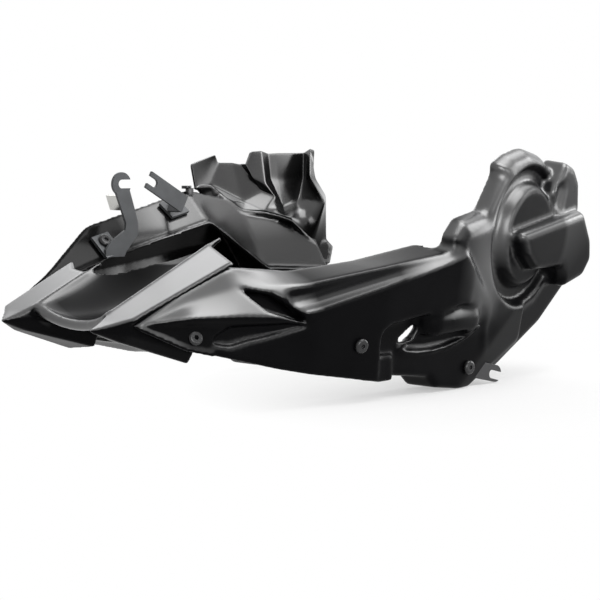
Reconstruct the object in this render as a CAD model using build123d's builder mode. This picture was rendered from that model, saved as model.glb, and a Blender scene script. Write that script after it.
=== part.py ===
"""Motorcycle belly pan: two moulded side panels, a nose piece, three brackets and their fasteners.

Millimetres. +X runs to the rear of the motorcycle, +Y to its right side and +Z up. The origin is under the
middle of the pan, on the level of its lowest edge.
"""
import math
import os

from build123d import *

os.makedirs("parts", exist_ok=True)

# Overall size. Outlines below are given in percent of these three.
length = 612.0
half_width = 177.0
height = 232.0

# Mouldings
wall = 2.6
bend = 4.0
open_reach = 40.0
skirt_corner = 6.0
skirt_depth = 42.0

# Round cover on the left tail: centre in percent, and how its plane stands
tail_centre = (77.1, 87.5, 67.0)
toe = 11.0
camber = 8.0
tail_depth = 17.0
tail_round = 9.0
cover_at = (-12, -3)
cover_radius = 70.0
groove_depth = 7.0
disc_radius = 55.0
disc_rise = 5.0
block_rise = 20.0
block_round = 5.0
lobe_radius = 15.0

# Nose
nose_level = 34.5
nose_rise = 25.0
deck_thickness = 3.0
trough_half = 52.0
trough_depth = 14.0
trough_from = 31.0
lip_height = 9.0
post_radius = 5.5
post_length = 16.0

# Brackets and fasteners: sheet steel with open slots for M8 studs, M6 screws
sheet = 3.0
slot_width = 8.5
screw_radius = 3.0
hole_gap = 0.2
head_radius = 7.0
head_height = 3.6
socket_across = 4.0
pad_radius = 9.0
pad_height = 6.0
pad_proud = 1.2
socket_depth = 2.2
thread_gap = 0.05
nut_across = 10.0
nut_height = 5.0
flange_radius = 7.0
flange_height = 1.6
hook_at = (27.6, 56.5, 86)
hook_round = 11.5
fork_at = (35.3, 60, 86)
fork_fall = 29.0
fork_length = 46.0
fork_half = 9.0
rear_fork = (-46, -11.5)
rear_half = 8.5


def along(percent):
    """Station along the pan, from the tips of the nose."""
    return length * (percent / 100 - 0.5)


def across(percent):
    """Distance from the middle plane."""
    return half_width * percent / 100


def above(percent):
    """Height over the lowest edge."""
    return height * percent / 100


def place(percent_x, percent_y, percent_z):
    """Point of the pan from its three percentages."""
    return Vector(along(percent_x), across(percent_y), above(percent_z))


# Side panels are drawn on the right side of the pan; the left one is mirrored at the end.
left_tip = (5, 54.5, 36)
left_stations = [
    (11, [(55, 42.5), (59, 41.5), (67, 39), (59, 34.5), (61.5, 28), (57, 28.5)]),
    (19, [(58, 51.5), (66, 47), (74, 38.5), (64.5, 33), (69.5, 23), (62, 24)]),
    (25.5, [(60.5, 53.5), (72, 48), (80, 38), (73.5, 31), (75.5, 17.5), (60, 20)]),
    (31, [(62.5, 54), (78, 49), (85.5, 39.5), (83.5, 30), (79.5, 13.5), (63.5, 15.5)]),
    (43.5, [(67, 56), (87.5, 54), (94, 47.5), (91, 30), (86, 8), (65, 11)]),
    (61.5, [(77, 64), (97.5, 60.5), (100, 58), (96, 39), (90.5, 17), (68, 19.5)]),
]
right_tip = (5, 54.5, 36)
right_stations = [
    (13, [(55.5, 46.5), (58.5, 51), (66.5, 41), (59.5, 35), (62, 27), (57, 27.5)]),
    (18.5, [(57, 51), (66, 60), (75, 44.5), (68, 34), (68, 22.5), (60, 23.5)]),
    (24, [(58.5, 55), (73.5, 69), (82.5, 47.5), (76, 33), (73.5, 18), (63, 20)]),
    (35, [(62, 61.5), (79, 75), (90.5, 51), (87.5, 31), (81.5, 11.5), (63.5, 15.5)]),
    (48, [(63.5, 69), (83.5, 83), (96, 55), (93, 31), (86.5, 8), (65, 11)]),
    (61.5, [(63.5, 46.5), (89, 77.5), (99, 58), (95.5, 39), (90.5, 17), (68, 19.5)]),
    (78, [(66, 44), (85, 67), (84, 56), (82, 42), (79.5, 30), (68, 31)]),
]
skirt_face = 83.0
skirt_outline = [
    (41, 11.5), (56, 7), (58, 2), (64, 0), (67, 0), (82, 17), (81, 39), (60, 41), (41, 34.5),
]
vent_outline = [(42.4, -5), (42.4, 27.5), (44, 31.5), (54, 34), (63, 37.5), (63, -5)]
slit_outline = [(47.7, 20.5), (50.2, 20), (52.8, 25), (52.6, 28.5), (51, 28.5)]
spoon_ends = ((50.5, 85, 22.5), (61, 85, 25))
spoon_radius = 10.0
gill_outline = [(20.2, 48), (25, 45), (28, 39.5), (29.8, 34.5), (26.5, 36.5), (23.4, 39.5)]
lobe_ends = ((54.5, 83.5, 27), (64.2, 83.5, 29.5))


def section(station, points, inset):
    """Closed profile across a panel. Its points run from the top edge round the outside to the bottom."""
    line = [Vector(across(y), above(z)) for y, z in points]
    radii = [0.0] + [bend] * (len(line) - 2) + [0.0]
    if inset:
        steps = [(b - a).normalized() for a, b in zip(line, line[1:])]
        moved = []
        for before, point, after in zip([steps[0]] + steps, line, steps + [steps[-1]]):
            mitre = (before + after).normalized()
            inward = Vector(mitre.Y, -mitre.X)
            moved.append(point + inward * (inset / inward.dot(Vector(before.Y, -before.X))))
        beyond = Vector(-open_reach, 0)
        line = [moved[0] + beyond] + moved + [moved[-1] + beyond]
        radii = [0.0] + [max(0.0, radius - inset) for radius in radii] + [0.0]
    with BuildSketch(Plane.YZ.offset(along(station))) as profile:
        with BuildLine():
            FilletPolyline(*[(point.X, point.Y) for point in line], radius=radii, close=True)
        make_face()
    return profile.sketch.face()


def flank(tip, stations, inset=0.0):
    """Body of a side panel from its pointed front end to its last station."""
    front = place(*tip) + Vector(5, 0.5, 0) * inset
    with BuildPart() as body:
        loft([Vertex(*front)] + [section(at, points, inset) for at, points in stations], ruled=True)
    return body.part


def surface(stations, station, edge, share):
    """Plane on the flank, outwards along its normal, at a share of the way along one side of the section."""
    for (x0, first), (x1, last) in zip(stations, stations[1:]):
        if x0 <= station <= x1:
            near = [place(x0, *first[edge]), place(x0, *first[edge + 1])]
            far = [place(x1, *last[edge]), place(x1, *last[edge + 1])]
            part = (station - x0) / (x1 - x0)
    rear = far[0] + (far[1] - far[0]) * share
    front = near[0] + (near[1] - near[0]) * share
    ahead = rear - front
    down = (near[1] - near[0]) * (1 - part) + (far[1] - far[0]) * part
    return Plane(front + ahead * part, x_dir=ahead, z_dir=ahead.cross(down))


def side_plane(out=0.0):
    """Plane of the tail: local X to the front, local Y up, outwards along its normal."""
    turn, lean = math.radians(toe), math.radians(camber)
    normal = (math.sin(turn) * math.cos(lean), math.cos(turn) * math.cos(lean), -math.sin(lean))
    base = Plane(place(*tail_centre), x_dir=(-math.cos(turn), math.sin(turn), 0), z_dir=normal)
    return base.offset(out)


def side_cut(outline, first, last):
    """Prism through a panel wall, drawn in side view."""
    with BuildPart() as cutter:
        with BuildSketch(Plane.XZ.offset(-across(last))):
            with BuildLine():
                Polyline(*[(along(x), above(z)) for x, z in outline], close=True)
            make_face()
        extrude(amount=across(last - first))
    return cutter.part


def skirt(inset=0.0):
    """Lower rear wall of a side panel, drawn in side view."""
    with BuildPart() as body:
        with BuildSketch(Plane.XZ.offset(-across(skirt_face) + inset)):
            with BuildLine():
                points = [(along(x), above(z)) for x, z in skirt_outline]
                FilletPolyline(*points, radius=skirt_corner, close=True)
            make_face()
            if inset:
                offset(amount=-inset)
        extrude(amount=skirt_depth + (open_reach if inset else 0))
        outer = body.faces().sort_by(Axis.Y)[-1]
        fillet(outer.edges(), skirt_corner - 1 - inset)
    return body.part


def slab(corners, top, depth, rounding, inset=0.0):
    """Plate on the tail plane with a rounded outer rim. Each corner is a point and its radius."""
    plane = side_plane(top - inset)
    with BuildPart() as body:
        with BuildSketch(plane):
            with BuildLine():
                FilletPolyline(*[p for p, _ in corners], radius=[r for _, r in corners], close=True)
            make_face()
            if inset:
                offset(amount=-inset)
        extrude(amount=-(depth + (open_reach if inset else 0)))
        face = body.faces().sort_by(Axis(plane.origin, plane.z_dir))[-1]
        fillet(face.edges(), rounding - inset)
    return body.part


tail_corners = [
    ((128, -10), 11), ((113, 8), 11), ((50, 11), 14), ((3, 71), 28), ((-56, 73), 36), ((-88, 48), 6),
    ((-102, 55), 10), ((-122, 49), 14), ((-144, 12), 20), ((-141, -71), 14), ((-79, -115), 14),
    ((10, -149), 20), ((48, -110), 20), ((54, -82), 14), ((100, -66), 20), ((128, -48), 11),
]
rear_corners = [
    ((-70, -20), 12), ((-146, -10), 12), ((-141, -71), 14), ((-79, -115), 14), ((10, -149), 20),
    ((30, -120), 20),
]
block_corners = [
    ((27, -1), 6), ((-105, 15), 6), ((-138, -27), 6), ((-141, -41), 6), ((-78, -62), 6), ((-45, -41), 6),
    ((-13, -42), 6),
]
ear_corners = [
    ((-80, 52), 8), ((-96, 53), 9), ((-116, 45), 12), ((-121, 16), 8), ((-92, 12), 8), ((-86, 36), 8),
]
front_pocket_corners = [
    ((144, 40), 9), ((150, 61), 9), ((114, 74), 9), ((102, 64), 5), ((64, 64), 9), ((48, 33), 9),
    ((78, 18), 9), ((116, 30), 9),
]
rear_pocket_corners = [
    ((78, 57), 13), ((71, 75), 13), ((-8, 76), 13), ((-10, 45), 13), ((8, 0), 13), ((46, 9), 13),
    ((76, 28), 13),
]
right_tail_corners = [
    ((16, 40), 10), ((-10, 47), 12), ((-20, 16), 20), ((-24, -40), 20), ((-18, -80), 14), ((14, -149), 20),
    ((52, -110), 20), ((94, -60), 20), ((104, 0), 20), ((54, 22), 12),
]


def disc(inset=0.0):
    """Raised disc in the groove, with a conical side."""
    with BuildPart() as body:
        with BuildSketch(side_plane(-groove_depth - inset)):
            with Locations(cover_at):
                Circle(disc_radius - inset)
        extrude(amount=-(tail_depth + (open_reach if inset else 0)))
        with BuildSketch(side_plane(-groove_depth - inset)):
            with Locations(cover_at):
                Circle(disc_radius - inset)
        extrude(amount=groove_depth + disc_rise, taper=45)
    return body.part


def cover_sink(inset=0.0):
    """Round sink in the tail that leaves a groove round the disc."""
    with BuildPart() as cutter:
        with BuildSketch(side_plane(-groove_depth - inset)):
            with Locations(cover_at):
                Circle(cover_radius - groove_depth / 2 + inset)
        extrude(amount=groove_depth + 30, taper=-20)
    return cutter.part


def capsule(ends, radius):
    """Rod with round ends between two points."""
    front, rear = (place(*end) for end in ends)
    with BuildPart() as body:
        with Locations(Plane(front, z_dir=rear - front)):
            Cylinder(radius, (rear - front).length, align=(Align.CENTER, Align.CENTER, Align.MIN))
        with Locations(front, rear):
            Sphere(radius)
    return body.part


def gill(inset=0.0):
    """Pocket behind the wedge at the front of the left panel."""
    floor = Plane(place(20.2, 59.5, 0) - Vector(0, inset, 0), x_dir=(1, 0.4, 0), z_dir=(-0.4, 1, 0))
    with BuildPart() as cutter:
        with BuildSketch(Plane.XZ.offset(-across(120))):
            with BuildLine():
                Polyline(*[(along(x), above(z)) for x, z in gill_outline], close=True)
            make_face()
            if inset:
                offset(amount=inset)
        extrude(amount=across(80))
        split(bisect_by=floor, keep=Keep.TOP)
    return cutter.part


def pad(plane):
    """Solid seat for a screw in a moulded wall."""
    with BuildPart() as body:
        with BuildSketch(plane.offset(pad_proud)):
            Circle(pad_radius)
        extrude(amount=-(pad_height + pad_proud))
    return body.part


def bore(plane):
    """Clearance hole for a screw."""
    with BuildPart() as cutter:
        with BuildSketch(plane.offset(20)):
            Circle(screw_radius + hole_gap)
        extrude(amount=-(20 + pad_height + 1))
    return cutter.part


def well(plane):
    """Room for a boss of the nose behind a front seat."""
    with BuildPart() as cutter:
        with BuildSketch(plane.offset(-pad_height)):
            Circle(post_radius + 1)
        extrude(amount=-post_length - 1)
    return cutter.part


def rear_shape(plane, widen, thick):
    """Strip from the rear screw to the rear fork, laid on a plane of the skirt seat."""
    middle = (rear_fork[0] / 2 - 3, rear_fork[1] / 2)
    with BuildPart() as body:
        with BuildSketch(plane):
            SlotCenterPoint(middle, (0, 0), 2 * (rear_half + widen))
        extrude(amount=-thick)
    return body.part


left_front_seat = surface(left_stations, 12.5, 3, 0.5)
left_middle_seat = surface(left_stations, 39, 3, 0.3)
skirt_seat = Plane((along(65.3), across(skirt_face), above(9)), x_dir=(-1, 0, 0), z_dir=(0, 1, 0))
right_front_seat = surface(right_stations, 14.5, 3, 0.5)
right_middle_seat = surface(right_stations, 39, 3, 0.3)
hook_seat = surface(right_stations, 25.5, 0, 0.35)
fork_seat = surface(right_stations, 43, 0, 0.6)
left_seats = [left_front_seat, left_middle_seat, skirt_seat]
right_seats = [right_front_seat, right_middle_seat, skirt_seat, hook_seat, fork_seat]

left_volumes = []
right_volumes = []
for inset in (0.0, wall):
    left_flank = flank(left_tip, left_stations, inset) - side_cut(vent_outline, 40, 120) - gill(inset)
    left_tail = slab(tail_corners, 0, tail_depth, tail_round, inset)
    left_rear = slab(rear_corners, -4, 30, 8, inset)
    left_block = slab(block_corners, block_rise, block_rise + 10, block_round, inset)
    left_ear = slab(ear_corners, 9, 20, 7, inset)
    with BuildPart() as left_volume:
        add(left_tail)
        add(cover_sink(inset), mode=Mode.SUBTRACT)
        add(left_rear)
        add(disc(inset))
        add(left_block)
        add(left_ear)
        add(skirt(inset))
        add(capsule(lobe_ends, lobe_radius - inset))
        add(capsule(spoon_ends, spoon_radius + inset), mode=Mode.SUBTRACT)
        add(left_flank)
    left_volumes.append(left_volume.part)
    with BuildPart() as right_volume:
        add(slab(right_tail_corners, 0, tail_depth, tail_round, inset))
        add(slab(front_pocket_corners, -15, 10, 7, inset))
        add(slab(rear_pocket_corners, 1, 19, 11, inset))
        add(skirt(inset))
        add(flank(right_tip, right_stations, inset))
    right_volumes.append(right_volume.part)


def panel(volumes, seats):
    """Shell between the outer and the inner volume, with its screw seats and room for the rear bracket."""
    with BuildPart() as shell:
        add(volumes[0])
        add(volumes[1], mode=Mode.SUBTRACT)
        add(rear_shape(skirt_seat.offset(-pad_height), 2, skirt_depth), mode=Mode.SUBTRACT)
        for seat in seats:
            add(pad(seat))
        for seat in seats:
            add(bore(seat), mode=Mode.SUBTRACT)
        add(well(seats[0]), mode=Mode.SUBTRACT)
    return shell.part


with BuildPart() as left_side_panel:
    add(panel(left_volumes, left_seats))
    add(side_cut(slit_outline, 55, 120), mode=Mode.SUBTRACT)
left = mirror(left_side_panel.part.solids().sort_by(SortBy.VOLUME)[-1], about=Plane.XZ)
left.label = "left_side_panel"
export_step(left, "parts/left_side_panel.step")

with BuildPart() as right_side_panel:
    add(panel(right_volumes, right_seats))
right = right_side_panel.part.solids().sort_by(SortBy.VOLUME)[-1]
right.label = "right_side_panel"
export_step(right, "parts/right_side_panel.step")


def nose_plane(out=0.0):
    """Plane of the nose strips: local X up the slope to the rear, local Y to the right."""
    slope = math.radians(nose_rise)
    normal = (-math.sin(slope), 0, math.cos(slope))
    base = Plane(place(0, 0, nose_level), x_dir=(math.cos(slope), 0, math.sin(slope)), z_dir=normal)
    return base.offset(out)


def nose_level_at(percent):
    """Height of the strips at a station, in millimetres."""
    return above(nose_level) + (along(percent) - along(0)) * math.tan(math.radians(nose_rise))


fang_tip = (0, 35.5)
fang_stations = [
    (3.6, 30.5, 51, [(49, 33), (44, 29.5), (34, 30), (30, 34.5)]),
    (14.9, 29, 54.5, [(52, 23.5), (48, 19.5), (26, 21.5), (22.5, 26.5)]),
]
left_strip = [(0, -63), (24, -93), (132, -112), (162, -51), (31, -51)]
right_strip = [(31, 51), (0, 63), (24, 93), (116, 96)]
right_strip_end = (96, 51)
right_strip_bow = (101, 76)
trough_end = [(96, 51.5), (112, 28), (150, -20), (163, -51), (230, -51), (230, 51.5)]


def fang(inset=0.0):
    """Pointed beak under a nose strip, open at the rear."""
    x, y = fang_tip
    point = Vertex(along(x) + 5 * inset, across(y), nose_level_at(x) - 0.6 * inset)
    faces = []
    for station, inner, outer, low in fang_stations:
        crown = nose_level_at(station)
        corners = [(across(inner), crown), (across(outer), crown)] + [(across(y), above(z)) for y, z in low]
        with BuildSketch(Plane.YZ.offset(along(station))) as profile:
            with BuildLine():
                Polyline(*corners, close=True)
            make_face()
            if inset:
                offset(amount=-inset, kind=Kind.INTERSECTION)
        faces.append(profile.sketch.face())
    with BuildPart() as body:
        loft([point] + faces, ruled=True)
    return body.part


def trough(start, thick, reach):
    """Hollow sheet between the strips."""
    base = nose_plane()
    across_slope = Plane(base.from_local_coords(Vector(start, 0, 0)), x_dir=(0, 1, 0), z_dir=base.x_dir)
    with BuildPart() as body:
        with BuildSketch(across_slope):
            with BuildLine():
                ThreePointArc((-trough_half, 0), (0, -trough_depth), (trough_half, 0))
                Line((trough_half, 0), (trough_half, -thick))
                ThreePointArc((trough_half, -thick), (0, -trough_depth - thick), (-trough_half, -thick))
                Line((-trough_half, -thick), (-trough_half, 0))
            make_face()
        extrude(amount=reach)
    return body.part


def post(seat):
    """Boss on the nose that takes the front screw of a side panel."""
    with BuildPart() as body:
        with BuildSketch(seat.offset(-pad_height)):
            Circle(post_radius)
        extrude(amount=-post_length)
        with BuildSketch(seat.offset(-pad_height)):
            Circle(screw_radius + thread_gap)
        extrude(amount=-10, mode=Mode.SUBTRACT)
    return body.part


half_fang = fang() - fang(wall)
with BuildPart() as nose_panel:
    with BuildSketch(nose_plane()):
        with BuildLine():
            Polyline(*left_strip, close=True)
        make_face()
        with BuildLine():
            Polyline(right_strip_end, *right_strip)
            ThreePointArc(right_strip[-1], right_strip_bow, right_strip_end)
        make_face()
    extrude(amount=-deck_thickness)
    add(half_fang)
    add(mirror(half_fang, about=Plane.XZ, mode=Mode.PRIVATE))
    add(trough(trough_from, deck_thickness, 150))
    with BuildSketch(nose_plane(60)):
        with BuildLine():
            Polyline(*trough_end, close=True)
        make_face()
    extrude(amount=-120, mode=Mode.SUBTRACT)
    add(trough(trough_from - 3, lip_height, 8))
    add(post(right_front_seat))
    add(mirror(post(left_front_seat), about=Plane.XZ, mode=Mode.PRIVATE))
nose = nose_panel.part
nose.label = "nose_panel"
export_step(nose, "parts/nose_panel.step")


def tab(seat, front, rear, low, high):
    """Foot of a bracket that lies on a screw seat of the deck."""
    with BuildPart() as body:
        with BuildSketch(seat.offset(pad_proud)):
            with Locations(((front + rear) / 2, (low + high) / 2)):
                Rectangle(rear - front, high - low)
        extrude(amount=sheet)
    return body.part


hook_centre = place(*hook_at)
hook_foot = hook_seat.from_local_coords(Vector(0, -17, pad_proud + sheet / 2)) - hook_centre
hook_plane = Plane(hook_centre + Vector(0, hook_foot.Y - sheet / 2, 0), x_dir=(1, 0, 0), z_dir=(0, -1, 0))
foot_front = hook_foot.X - hook_round
foot_rear = hook_foot.X + hook_round
foot_low = hook_foot.Z - sheet / 2
hook_outline = [
    (-9, -4), (0, -26), (5, -39), (4, -45), (-14, foot_low + 15), (foot_front, foot_low + 7),
    (foot_front, foot_low), (foot_rear, foot_low), (5, foot_low + 5), (20, -50), (20, -39),
    (16, -25), (9, -4),
]
with BuildPart() as hook_bracket:
    with BuildSketch(hook_plane):
        with BuildLine():
            Polyline(*hook_outline, close=True)
        make_face()
        Circle(hook_round)
        SlotCenterPoint((12, 0), (0, 0), slot_width, mode=Mode.SUBTRACT)
    extrude(amount=-sheet)
    add(tab(hook_seat, -hook_round, hook_round, -17.5, pad_radius))
    add(bore(hook_seat), mode=Mode.SUBTRACT)
hook_bracket.part.label = "hook_bracket"
export_step(hook_bracket.part, "parts/hook_bracket.step")

fork_centre = place(*fork_at)
fall = math.radians(fork_fall)
fork_plane = Plane(fork_centre, x_dir=(math.cos(fall), 0, -math.sin(fall)), z_dir=(0, 1, 0))
leg_reach = fork_seat.origin.Y - 5 - fork_centre.Y
with BuildPart() as fork_bracket:
    with BuildSketch(fork_plane):
        with Locations((fork_length / 2 - 4, 0)):
            Rectangle(fork_length + 8, 2 * fork_half)
        SlotCenterPoint((-12, 0), (0, 0), slot_width, mode=Mode.SUBTRACT)
    extrude(amount=sheet)
    with BuildSketch(fork_plane):
        with Locations((fork_length - sheet / 2, 0)):
            Rectangle(sheet, 2 * fork_half)
    extrude(amount=leg_reach)
    add(tab(fork_seat, -15, 10, -12, pad_radius))
    add(bore(fork_seat), mode=Mode.SUBTRACT)
fork_bracket.part.label = "fork_bracket"
export_step(fork_bracket.part, "parts/fork_bracket.step")

with BuildPart() as right_rear_bracket:
    plate_plane = skirt_seat.offset(-pad_height)
    add(rear_shape(plate_plane, 0, sheet))
    with BuildSketch(plate_plane):
        open_end = (rear_fork[0] * 1.25, rear_fork[1] * 1.25)
        SlotCenterPoint(open_end, rear_fork, slot_width)
    extrude(amount=-sheet, mode=Mode.SUBTRACT)
    with BuildSketch(plate_plane):
        Circle(screw_radius + hole_gap)
    extrude(amount=-sheet, mode=Mode.SUBTRACT)
right_rear_bracket.part.label = "right_rear_bracket"
export_step(right_rear_bracket.part, "parts/right_rear_bracket.step")
left_rear_bracket = mirror(right_rear_bracket.part, about=Plane.XZ)
left_rear_bracket.label = "left_rear_bracket"
export_step(left_rear_bracket, "parts/left_rear_bracket.step")


def screw(seat, lift, grip):
    """Button head screw. Its head lies a lift above the seat and its shank ends a grip below it."""
    with BuildPart() as body:
        with BuildSketch(seat.offset(lift)):
            Circle(head_radius)
        extrude(amount=head_height)
        rim = body.edges().filter_by(GeomType.CIRCLE).sort_by(Axis(seat.origin, seat.z_dir))[-1]
        fillet(rim, head_height * 0.7)
        with BuildSketch(seat.offset(lift + head_height)):
            RegularPolygon(socket_across / 2, 6, major_radius=False)
        extrude(amount=-socket_depth, mode=Mode.SUBTRACT)
        with BuildSketch(seat.offset(lift)):
            Circle(screw_radius)
        extrude(amount=-(lift + grip))
    return body.part


def nut(seat, drop):
    """Hexagon nut with a flange, a drop below the seat."""
    with BuildPart() as body:
        with BuildSketch(seat.offset(-drop)):
            Circle(flange_radius)
        extrude(amount=-flange_height)
        with BuildSketch(seat.offset(-drop)):
            RegularPolygon(nut_across / 2, 6, major_radius=False)
        extrude(amount=-nut_height)
        with BuildSketch(seat.offset(-drop)):
            Circle(screw_radius + thread_gap)
        extrude(amount=-nut_height, mode=Mode.SUBTRACT)
    return body.part


through = pad_height + nut_height + 2
fasteners = {
    "right_front_screw": screw(right_front_seat, pad_proud, pad_height + 9),
    "right_middle_screw": screw(right_middle_seat, pad_proud, through),
    "right_middle_nut": nut(right_middle_seat, pad_height),
    "right_rear_screw": screw(skirt_seat, pad_proud, through + sheet),
    "right_rear_nut": nut(skirt_seat, pad_height + sheet),
    "hook_screw": screw(hook_seat, pad_proud + sheet, through),
    "hook_nut": nut(hook_seat, pad_height),
    "fork_screw": screw(fork_seat, pad_proud + sheet, through),
    "fork_nut": nut(fork_seat, pad_height),
    "left_front_screw": mirror(screw(left_front_seat, pad_proud, pad_height + 9), about=Plane.XZ),
    "left_middle_screw": mirror(screw(left_middle_seat, pad_proud, through), about=Plane.XZ),
    "left_middle_nut": mirror(nut(left_middle_seat, pad_height), about=Plane.XZ),
    "left_rear_screw": mirror(screw(skirt_seat, pad_proud, through + sheet), about=Plane.XZ),
    "left_rear_nut": mirror(nut(skirt_seat, pad_height + sheet), about=Plane.XZ),
}
for name, piece in fasteners.items():
    piece.label = name
    export_step(piece, "parts/" + name + ".step")
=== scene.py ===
"""Looks of a moulded motorcycle belly pan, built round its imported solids."""

import math

import bpy
import numpy as np
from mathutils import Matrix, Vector


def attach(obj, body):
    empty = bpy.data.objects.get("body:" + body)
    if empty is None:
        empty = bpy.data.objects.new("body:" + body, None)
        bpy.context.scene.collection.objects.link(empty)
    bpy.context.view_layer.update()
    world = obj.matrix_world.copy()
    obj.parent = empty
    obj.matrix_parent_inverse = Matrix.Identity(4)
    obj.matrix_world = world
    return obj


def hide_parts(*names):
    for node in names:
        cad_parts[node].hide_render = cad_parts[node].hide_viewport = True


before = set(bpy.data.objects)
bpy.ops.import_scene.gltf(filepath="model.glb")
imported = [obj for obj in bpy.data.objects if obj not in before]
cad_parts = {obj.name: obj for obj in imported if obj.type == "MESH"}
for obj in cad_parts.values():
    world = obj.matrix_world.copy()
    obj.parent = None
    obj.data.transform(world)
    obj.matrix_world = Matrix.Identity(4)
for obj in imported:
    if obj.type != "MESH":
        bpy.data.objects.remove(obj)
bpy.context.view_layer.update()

bl_info = {
    "name": "Belly pan looks",
    "version": (1, 0, 0),
    "blender": (4, 5, 0),
    "location": "View3D > Sidebar > Belly Pan",
    "description": "Moulded panels, brackets, fasteners and stage of a motorcycle belly pan",
    "category": "Object",
}

MM = 0.001
LENGTH, HALF_WIDTH, HEIGHT = 612.0, 177.0, 232.0


def along(percent):
    """Station along the pan, in millimetres."""
    return LENGTH * (percent / 100 - 0.5)


def across(percent):
    """Distance from the middle plane, in millimetres."""
    return HALF_WIDTH * percent / 100


def above(percent):
    """Height over the lowest edge, in millimetres."""
    return HEIGHT * percent / 100


class Node:
    """A shader socket. Maths on it adds Math nodes."""

    def __init__(self, tree, socket):
        self.tree, self.socket = tree, socket

    @staticmethod
    def add(tree, kind, settings=None, output=0, **values):
        """Adds a node, sets its settings, then its sockets, which are named, or numbered as i0, i1.

        Gives one output of the node, or None if the node has no outputs.
        """
        node = tree.nodes.new(kind)
        for key, value in (settings or {}).items():
            setattr(node, key, value)
        for key, value in values.items():
            numbered = key[0] == "i" and key[1:].isdigit()
            slot = node.inputs[int(key[1:]) if numbered else key.replace("_", " ")]
            if isinstance(value, Node):
                tree.links.new(value.socket, slot)
            else:
                slot.default_value = value
        return Node(tree, node.outputs[output]) if node.outputs else None

    def beside(self, output):
        """Another output of the same node."""
        return Node(self.tree, self.socket.node.outputs[output])

    def feed(self, shader, name):
        """Links this value to a socket of the finish's shader."""
        self.tree.links.new(self.socket, shader.inputs[name])

    def maths(self, operation, first, second):
        return Node.add(self.tree, "ShaderNodeMath", {"operation": operation}, i0=first, i1=second)

    def __add__(self, other):
        return self.maths("ADD", self, other)

    def __radd__(self, other):
        return self.maths("ADD", other, self)

    def __sub__(self, other):
        return self.maths("SUBTRACT", self, other)

    def __rsub__(self, other):
        return self.maths("SUBTRACT", other, self)

    def __mul__(self, other):
        return self.maths("MULTIPLY", self, other)

    def __rmul__(self, other):
        return self.maths("MULTIPLY", other, self)

    def __truediv__(self, other):
        return self.maths("DIVIDE", self, other)

    def __rtruediv__(self, other):
        return self.maths("DIVIDE", other, self)

    def at_least(self, other):
        return self.maths("MAXIMUM", self, other)

    def at_most(self, other):
        return self.maths("MINIMUM", self, other)


# Fields: arrays of signed distance in millimetres, below zero inside a body.

TINY = 1e-6
ARC_POINTS = 7
SAMPLE_PITCH, SAMPLE_MARGIN = 1.5, 60


def room(low, high, step):
    """Three open axes of a box of points."""
    x, h, z = (np.arange(a, b + step, step, dtype=np.float32) for a, b in zip(low, high))
    return x[:, None, None], h[None, :, None], z[None, None, :]


def outline_field(p, q, corners):
    """Distance to a closed outline. A corner may change from slice to slice."""
    nearest, inside = None, False
    for (ax, ay), (bx, by) in zip(corners, corners[1:] + corners[:1]):
        ex, ey = bx - ax, by - ay
        wx, wy = p - ax, q - ay
        share = np.clip((wx * ex + wy * ey) / (ex * ex + ey * ey + TINY), 0, 1)
        gap = (wx - ex * share) ** 2 + (wy - ey * share) ** 2
        nearest = gap if nearest is None else np.minimum(nearest, gap)
        span = np.where(np.abs(ey) < TINY, TINY, ey)
        inside = inside ^ (((ay > q) != (by > q)) & (p < ex * (q - ay) / span + ax))
    return np.where(inside, -1, 1) * np.sqrt(nearest)


def rounded(corners):
    """Outline with an arc at each corner. A corner is a point and its radius."""
    points = []
    count = len(corners)
    for i, (point, radius) in enumerate(corners):
        here = np.array(point, float)
        before = np.array(corners[i - 1][0], float) - here
        after = np.array(corners[(i + 1) % count][0], float) - here
        before /= np.linalg.norm(before)
        after /= np.linalg.norm(after)
        half = math.acos(max(-1, min(1, before @ after))) / 2
        reach = radius / math.tan(half)
        start, end = here + before * reach, here + after * reach
        for share in np.linspace(0, 1, ARC_POINTS):
            bend = (1 - share) ** 2 * start + 2 * share * (1 - share) * here + share**2 * end
            points.append(tuple(bend))
    return points


def sample(p, q, low, pitch, sheet):
    """Values of a sheet of samples at given places, blended between its points."""
    i = np.clip((p - low[0]) / pitch, 0, sheet.shape[0] - 1.001)
    j = np.clip((q - low[1]) / pitch, 0, sheet.shape[1] - 1.001)
    i, j = np.broadcast_arrays(i, j)
    i0, j0 = i.astype(int), j.astype(int)
    s, t = i - i0, j - j0
    near = sheet[i0, j0] * (1 - t) + sheet[i0, j0 + 1] * t
    far = sheet[i0 + 1, j0] * (1 - t) + sheet[i0 + 1, j0 + 1] * t
    return near * (1 - s) + far * s


def spread(p, q, corners):
    """Distance to an outline with many points, read from a fine sheet of samples."""
    points = np.array(corners)
    low, high = points.min(0) - SAMPLE_MARGIN, points.max(0) + SAMPLE_MARGIN
    a = np.arange(low[0], high[0], SAMPLE_PITCH, dtype=np.float32)
    b = np.arange(low[1], high[1], SAMPLE_PITCH, dtype=np.float32)
    return sample(p, q, low, SAMPLE_PITCH, outline_field(a[:, None], b[None, :], corners))


def raised(flat, height, radius):
    """Body over an outline up to a height, with a rounded rim."""
    a, b = flat + radius, height + radius
    return np.hypot(np.maximum(a, 0), np.maximum(b, 0)) + np.minimum(np.maximum(a, b), 0) - radius


def melt(a, b, width):
    """Union with a soft joint."""
    share = np.clip(0.5 + 0.5 * (b - a) / width, 0, 1)
    return b * (1 - share) + a * share - width * share * (1 - share)


def carve(body, cutter, width):
    """Cut with a soft edge."""
    return -melt(-body, cutter, width)


def sink(body, outline, depth, width):
    """Recess of even depth inside an outline."""
    return carve(body, np.maximum(outline, -(body + depth)), width)


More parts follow.
